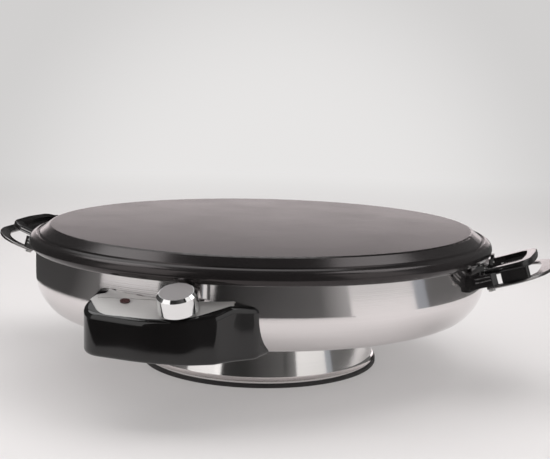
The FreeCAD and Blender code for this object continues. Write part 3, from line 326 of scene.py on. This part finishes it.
def spun_steel(name, dark, light, low_gloss, high_gloss):
    """Polished steel with lathe rings, faint wipe marks and soft pressing waves. A gloss
    here and below is a roughness, from the most polished spots to the least."""
    material, tree, output = blank_material(name)
    place = add(tree, "TexCoord")
    rings = add(tree, "TexNoise", Vector=(from_axis(tree, place), 0), Scale=1400.0, Detail=2.0,
                Roughness=0.6)
    clouds = add(tree, "TexNoise", Vector=(place, "Object"), Scale=22.0, Detail=4.0, Roughness=0.6)
    waves = add(tree, "TexNoise", Vector=(place, "Object"), Scale=9.0, Detail=1.0)
    wear = varied(tree, clouds, low_gloss, high_gloss)
    ring_relief = add(tree, "Bump", Strength=0.03, Distance=0.0004, Height=(rings, 0))
    relief = add(tree, "Bump", Strength=0.05, Distance=0.002, Height=(waves, 0), Normal=(ring_relief, 0))
    round_way = add(tree, "Tangent", {"direction_type": "RADIAL", "axis": "Z"})
    steel = add(tree, "BsdfPrincipled", Metallic=1.0, Anisotropic=0.5, Anisotropic_Rotation=0.25,
                Roughness=(wear, 0), Normal=(relief, 0), Tangent=(round_way, 0))
    tree.links.new(tones(tree, rings, dark, light), steel.inputs["Base Color"])
    tree.links.new(steel.outputs[0], output.inputs["Surface"])
    return material


bowl_steel = spun_steel("bowl_steel", dark=(0.71, 0.68, 0.678), light=(0.78, 0.75, 0.748), low_gloss=0.08,
                        high_gloss=0.12)
dress(bowl_steel, "bowl_shell")

# The pedestal is a pressed skirt of the same steel. Its upper flange lies under the bowl's
# floor, and its foot flares a little over the rubber ring.
pedestal_steel = spun_steel("pedestal_steel", dark=(0.74, 0.72, 0.71), light=(0.82, 0.80, 0.79),
                            low_gloss=0.09, high_gloss=0.14)
dress(pedestal_steel, "pedestal")


# A ring of black rubber is pushed onto the pedestal's foot. It stands the cooker off the
# table and keeps it from sliding.
FINER_GRAIN = 18


def plain_finish(name, dark, light, low_gloss, high_gloss, metallic=0.0, grain=60.0, strength=0.2):
    """A finish with soft mottling, uneven gloss and a fine grain."""
    material, tree, output = blank_material(name)
    place = add(tree, "TexCoord")
    mottle = add(tree, "TexNoise", Vector=(place, "Object"), Scale=grain, Detail=4.0, Roughness=0.6)
    fine = add(tree, "TexNoise", Vector=(place, "Object"), Scale=grain * FINER_GRAIN, Detail=2.0,
               Roughness=0.6)
    gloss = varied(tree, mottle, low_gloss, high_gloss)
    relief = add(tree, "Bump", Strength=strength, Distance=0.0002, Height=(fine, 0))
    shader = add(tree, "BsdfPrincipled", Metallic=metallic, Roughness=(gloss, 0), Normal=(relief, 0))
    tree.links.new(tones(tree, mottle, dark, light), shader.inputs["Base Color"])
    tree.links.new(shader.outputs[0], output.inputs["Surface"])
    return material


rubber = plain_finish("foot_rubber", dark=(0.018, 0.017, 0.017), light=(0.03, 0.028, 0.028),
                      low_gloss=0.5, high_gloss=0.75)
dress(rubber, "foot_ring")


# Four button screws hold the pedestal up under the bowl, with plain nuts on the inside.
# They are zinc plated, with a hexagon socket in each head.
TIP_RADIUS = 0.0014
TIP_LENGTH = 0.0003
SHANK_RADIUS = 0.0015
HEAD_RADIUS = 0.0028
HEAD_SHAPE = [(1, 1), (1, 0.72), (0.92, 0.36), (0.76, 0.12), (0.56, 0)]
HEAD_MARGIN = 1.01
SOCKET_RADIUS = 0.5 * HEAD_RADIUS
SOCKET_LIP = 0.0001
SOCKET_DEPTH = 0.6
HEXAGON_BELOW = 0.53 * HEAD_RADIUS
SCREW_SIDES = 28
SHARP_EDGE = math.radians(40)


def hexagon_share(angle):
    """How far out a hexagon's side lies at an angle, as a share of its corners' radius."""
    return math.cos(math.pi / 6) / math.cos((angle + math.pi / 6) % (math.pi / 3) - math.pi / 6)


def lathe(shape, profile, place):
    """Turns a profile of (radius, height) round the Z axis of a place. Rings narrower than
    HEXAGON_BELOW become hexagons."""
    rings = []
    for radius, height in profile:
        ring = []
        for side in range(SCREW_SIDES):
            angle = 2 * math.pi * side / SCREW_SIDES
            reach = radius * hexagon_share(angle) if radius < HEXAGON_BELOW else radius
            spot = Vector((reach * math.cos(angle), reach * math.sin(angle), height))
            ring.append(shape.verts.new(place @ spot))
        rings.append(ring)
    for low, high in zip(rings, rings[1:]):
        for side in range(SCREW_SIDES):
            shape.faces.new((low[side], low[side - 1], high[side - 1], high[side]))
    shape.faces.new(rings[0])
    shape.faces.new(reversed(rings[-1]))


def centre(points):
    return sum(points, Vector()) / len(points)


def islands(name):
    """The separate solids of a node, each as a list of its points."""
    shape = bmesh.new()
    shape.from_mesh(node[name].data)
    bmesh.ops.remove_doubles(shape, verts=shape.verts, dist=1e-7)
    waiting = set(shape.verts)
    found = []
    while waiting:
        grown = [waiting.pop()]
        for vertex in grown:
            for edge in vertex.link_edges:
                other = edge.other_vert(vertex)
                if other in waiting:
                    waiting.discard(other)
                    grown.append(other)
        found.append([vertex.co.copy() for vertex in grown])
    shape.free()
    return sorted(found, key=lambda points: tuple(round(c, 4) for c in centre(points)))


def screws(stands_for, axis, head_height):
    """A set of button screws in place of a node's solids. The axis points out of the heads."""
    outward = Vector(axis)
    turn = outward.to_track_quat("Z", "Y").to_matrix().to_4x4()
    shape = bmesh.new()
    for points in islands(stands_for):
        along = [point.dot(outward) for point in points]
        top = max(along)
        length = top - min(along)
        middle = centre([point for point in points if point.dot(outward) > top - head_height * HEAD_MARGIN])
        middle += outward * (top - middle.dot(outward))
        shank = [(TIP_RADIUS, -length), (SHANK_RADIUS, TIP_LENGTH - length), (SHANK_RADIUS, -head_height)]
        head = [(HEAD_RADIUS * out, -head_height * down) for out, down in HEAD_SHAPE]
        socket = [(SOCKET_RADIUS, -SOCKET_LIP), (SOCKET_RADIUS, -head_height * SOCKET_DEPTH)]
        lathe(shape, shank + head + socket, Matrix.Translation(middle) @ turn)
    bmesh.ops.recalc_face_normals(shape, faces=shape.faces)
    mesh = bpy.data.meshes.new(stands_for + "_set")
    shape.to_mesh(mesh)
    shape.free()
    mesh.shade_smooth()
    mesh.set_sharp_from_angle(angle=SHARP_EDGE)
    mesh.materials.append(zinc)
    made = bpy.data.objects.new(stands_for + "_set", mesh)
    scene.collection.objects.link(made)
    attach(made, "base")
    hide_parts(stands_for)


zinc = plain_finish("zinc_steel", dark=(0.44, 0.44, 0.43), light=(0.60, 0.60, 0.58),
                    low_gloss=0.22, high_gloss=0.38, metallic=1.0)
screws("pedestal_screws", axis=(0, 0, -1), head_height=0.002)
dress(zinc, "pedestal_nuts")


# The crepe plate is a thick casting, turned flat on top and sprayed with a dark non-stick
# coating. Its rim is rolled over the bowl's edge as a round bead.
coating, tree, output = blank_material("plate_coating")
place = add(tree, "TexCoord")
turning = add(tree, "TexNoise", Vector=(from_axis(tree, place), 0), Scale=300.0, Detail=2.0,
              Roughness=0.5)
spray = add(tree, "TexNoise", Vector=(place, "Object"), Scale=1500.0, Detail=2.0, Roughness=0.7)
baking = add(tree, "TexNoise", Vector=(place, "Object"), Scale=14.0, Detail=5.0, Roughness=0.6)
turning_relief = add(tree, "Bump", Strength=0.01, Distance=0.0003, Height=(turning, 0))
relief = add(tree, "Bump", Strength=0.05, Distance=0.0001, Height=(spray, 0), Normal=(turning_relief, 0))
gloss = varied(tree, baking, 0.18, 0.22)
plate_shader = add(tree, "BsdfPrincipled", Roughness=(gloss, 0), Normal=(relief, 0), Specular_IOR_Level=0.5,
                   Specular_Tint=(1.0, 0.90, 0.905))
shade = tones(tree, baking, dark=(0.009, 0.008, 0.008), light=(0.013, 0.012, 0.012))
tree.links.new(shade, plate_shader.inputs["Base Color"])
tree.links.new(plate_shader.outputs[0], output.inputs["Surface"])
dress(coating, "crepe_plate")


# The control housing is a moulding of gloss black heat-proof plastic, screwed to the bowl.
# A shallow tray of the same plastic closes it from below.
gloss_black = plain_finish("housing_black", dark=(0.006, 0.0055, 0.0055), light=(0.009, 0.0085, 0.0085),
                           low_gloss=0.05, high_gloss=0.09, grain=30.0, strength=0.02)
dress(gloss_black, "control_housing", "housing_cover")

# Two button screws hold the tray to the posts inside the housing, and two more hold the
# housing to the bowl's wall from the inside.
screws("housing_cover_screws", axis=(0, 0, -1), head_height=0.0016)
dress(zinc, "housing_fixing_screws")


# The control panel is a thin aluminium plate let into the housing's sloping top. It is
# brushed from side to side and has a clear satin lacquer.
brushed, tree, output = blank_material("panel_brushed")
place = add(tree, "TexCoord")
long_way = add(tree, "Mapping", Vector=(place, "Object"), Scale=(12.0, 900.0, 900.0))
hairs = add(tree, "TexNoise", Vector=(long_way, 0), Scale=3.0, Detail=4.0, Roughness=0.7)
bands = add(tree, "TexNoise", Vector=(place, "Object"), Scale=26.0, Detail=3.0)
gloss = varied(tree, bands, 0.30, 0.40)
hair_relief = add(tree, "Bump", Strength=0.10, Distance=0.0002, Height=(hairs, 0))
panel_metal = add(tree, "BsdfPrincipled", Metallic=0.30, Anisotropic=0.5, Roughness=(gloss, 0),
                  Normal=(hair_relief, 0), Coat_Weight=0.25, Coat_Roughness=0.15)
shade = tones(tree, hairs, dark=(0.43, 0.42, 0.412), light=(0.54, 0.527, 0.518))
tree.links.new(shade, panel_metal.inputs["Base Color"])
tree.links.new(panel_metal.outputs[0], output.inputs["Surface"])
dress(brushed, "control_panel")


# The pilot lamp is a small neon lamp in glass, pushed into a hole of the housing. An oval
# window of smoked plastic snaps over it from outside.
def clear_finish(name, tint, roughness, seen_through):
    """Tinted plastic or glass that lets light through."""
    material, tree, output = blank_material(name)
    place = add(tree, "TexCoord")
    swirl = add(tree, "TexNoise", Vector=(place, "Object"), Scale=180.0, Detail=3.0)
    gloss = varied(tree, swirl, roughness * 0.7, roughness * 1.3)
    shader = add(tree, "BsdfPrincipled", Transmission_Weight=seen_through, IOR=1.49, Roughness=(gloss, 0))
    lighter = tuple(channel * 1.25 for channel in tint)
    tree.links.new(tones(tree, swirl, tint, lighter), shader.inputs["Base Color"])
    tree.links.new(shader.outputs[0], output.inputs["Surface"])
    return material


smoked = clear_finish("lamp_smoked", tint=(0.085, 0.045, 0.045), roughness=0.06, seen_through=0.35)
dress(smoked, "lamp_window")
lamp_glass = clear_finish("lamp_glass", tint=(0.78, 0.42, 0.25), roughness=0.04, seen_through=0.7)
dress(lamp_glass, "lamp_body")


# The knob is turned from brass and chromed. It is pushed onto the thermostat's shaft, and a
# satin grey cap is glued into its top.
chrome = plain_finish("chrome", dark=(0.80, 0.80, 0.80), light=(0.85, 0.85, 0.85),
                      low_gloss=0.03, high_gloss=0.07, metallic=1.0, grain=40.0, strength=0.01)
dress(chrome, "knob")
cap_grey = plain_finish("cap_grey", dark=(0.175, 0.164, 0.165), light=(0.205, 0.193, 0.194),
                        low_gloss=0.32, high_gloss=0.42, metallic=0.15, grain=220.0, strength=0.15)
dress(cap_grey, "knob_cap")


# The thermostat is a black moulded box with a threaded bush through the panel. A flat nut
# holds it, and its steel shaft carries the knob.
dark_plastic = plain_finish("dark_plastic", dark=(0.02, 0.02, 0.02), light=(0.032, 0.031, 0.03),
                            low_gloss=0.38, high_gloss=0.52, grain=90.0)
dress(dark_plastic, "thermostat_body")
dress(zinc, "thermostat_nut", "thermostat_shaft")


# The heating element is a sheathed tube bent into a ring under the plate. The sheath turns
# brown where it has been hot. Three pressed posts carry it.
sheath, tree, output = blank_material("element_sheath")
place = add(tree, "TexCoord")
heat = add(tree, "TexNoise", Vector=(place, "Object"), Scale=24.0, Detail=4.0, Roughness=0.6)
scale = add(tree, "TexNoise", Vector=(place, "Object"), Scale=600.0, Detail=3.0)
relief = add(tree, "Bump", Strength=0.2, Distance=0.0001, Height=(scale, 0))
gloss = varied(tree, heat, 0.35, 0.55)
sheath_metal = add(tree, "BsdfPrincipled", Metallic=0.9, Roughness=(gloss, 0), Normal=(relief, 0))
shade = tones(tree, heat, dark=(0.10, 0.085, 0.085), light=(0.24, 0.19, 0.15))
tree.links.new(shade, sheath_metal.inputs["Base Color"])
tree.links.new(sheath_metal.outputs[0], output.inputs["Surface"])
dress(sheath, "heating_element")
dress(zinc, "element_supports")

# The reflector is a dish of aluminised sheet that keeps the element's heat off the wires.
# Three clips on the bowl's wall carry its edge, each with a button screw.
aluminised = plain_finish("aluminised_sheet", dark=(0.58, 0.58, 0.575), light=(0.72, 0.72, 0.71),
                          low_gloss=0.24, high_gloss=0.36, metallic=1.0, grain=120.0, strength=0.1)
dress(aluminised, "heat_reflector")
dress(zinc, "reflector_clips")
screws("reflector_screws", axis=(0, 0, 1), head_height=0.0018)

# The element's legs and the wires meet in an unglazed ceramic block, which stands on a small
# steel bracket on the bowl's floor.
ceramic = plain_finish("ceramic", dark=(0.72, 0.69, 0.63), light=(0.80, 0.775, 0.715),
                       low_gloss=0.5, high_gloss=0.7, grain=140.0)
dress(ceramic, "terminal_block")
dress(zinc, "terminal_bracket")

# The thermostat feels the plate with a copper bulb held close under it on a bent bracket. A
# fine copper capillary runs from the bulb down to the thermostat.
copper = plain_finish("copper", dark=(0.58, 0.29, 0.18), light=(0.70, 0.38, 0.25),
                      low_gloss=0.22, high_gloss=0.4, metallic=1.0)
dress(copper, "sensor_bulb", "capillary_tube")
dress(zinc, "sensor_bracket")

# The power inlet is a black moulded socket through the bowl's back wall, with three flat
# plated pins.
dress(dark_plastic, "inlet_body")
dress(zinc, "inlet_pins")

# The leads run in a woven glass sleeve from the inlet to the ceramic block and on to the
# thermostat.
sleeving, tree, output = blank_material("woven_sleeving")
place = add(tree, "TexCoord")
weave = add(tree, "TexWave", {"wave_type": "BANDS", "bands_direction": "DIAGONAL"}, Scale=700.0,
            Distortion=1.0, Vector=(place, "Object"))
relief = add(tree, "Bump", Strength=0.4, Distance=0.0003, Height=(weave, 1))
sleeve_cloth = add(tree, "BsdfPrincipled", Roughness=0.8, Sheen_Weight=0.2, Normal=(relief, 0))
shade = tones(tree, weave, dark=(0.50, 0.47, 0.41), light=(0.68, 0.65, 0.58))
tree.links.new(shade, sleeve_cloth.inputs["Base Color"])
tree.links.new(sleeve_cloth.outputs[0], output.inputs["Surface"])
dress(sleeving, "wiring")


# Each strap handle is stamped from thick sheet, its end broader than its legs, polished and
# chromed. Its chrome colour is a much darker copy of the knob's, painted shade that makes the
# straps look dark. Two screws from below hold it under the bracket's arms.
strap_chrome_painted_shade = plain_finish("strap_chrome_painted_shade", dark=(0.24, 0.232, 0.23), light=(0.31, 0.30, 0.298),
                            low_gloss=0.12, high_gloss=0.2, metallic=1.0, grain=40.0, strength=0.02)
dress(strap_chrome_painted_shade, "handle_strap_left", "handle_strap_right")
dress(zinc, "handle_screws_left", "handle_screws_right", "bracket_screws_left", "bracket_screws_right")

# The bracket and the grip block on the strap's leg are heat-proof black mouldings with a
# high gloss. The bracket is screwed to the bowl's wall from the inside.
handle_black = plain_finish("handle_black", dark=(0.009, 0.0085, 0.0085), light=(0.014, 0.013, 0.013),
                            low_gloss=0.09, high_gloss=0.16, strength=0.03)
dress(handle_black, "handle_bracket_left", "handle_bracket_right", "grip_block_left", "grip_block_right")

# Two bright lines run along the outside of each bracket arm. They are strips of chromed
# steel pressed onto the moulding. Their chrome colour is a greyer copy of the knob's, painted
# shade that dims the lines.
line_chrome_painted_shade = plain_finish("line_chrome_painted_shade", dark=(0.42, 0.41, 0.41), light=(0.52, 0.51, 0.51),
                           low_gloss=0.12, high_gloss=0.2, metallic=1.0)
dress(line_chrome_painted_shade, "handle_inlays_left", "handle_inlays_right")

# The plate's own loops are black mouldings too, with a sunk floor between their arms and the
# same bright lines along them. Each is pinned to two bright tabs under the plate's rim.
dress(handle_black, "plate_handle_left", "plate_handle_right")
dress(line_chrome_painted_shade, "plate_handle_inlays_left", "plate_handle_inlays_right")
dress(chrome, "plate_handle_tabs_left", "plate_handle_tabs_right")
dress(zinc, "plate_handle_pins_left", "plate_handle_pins_right")
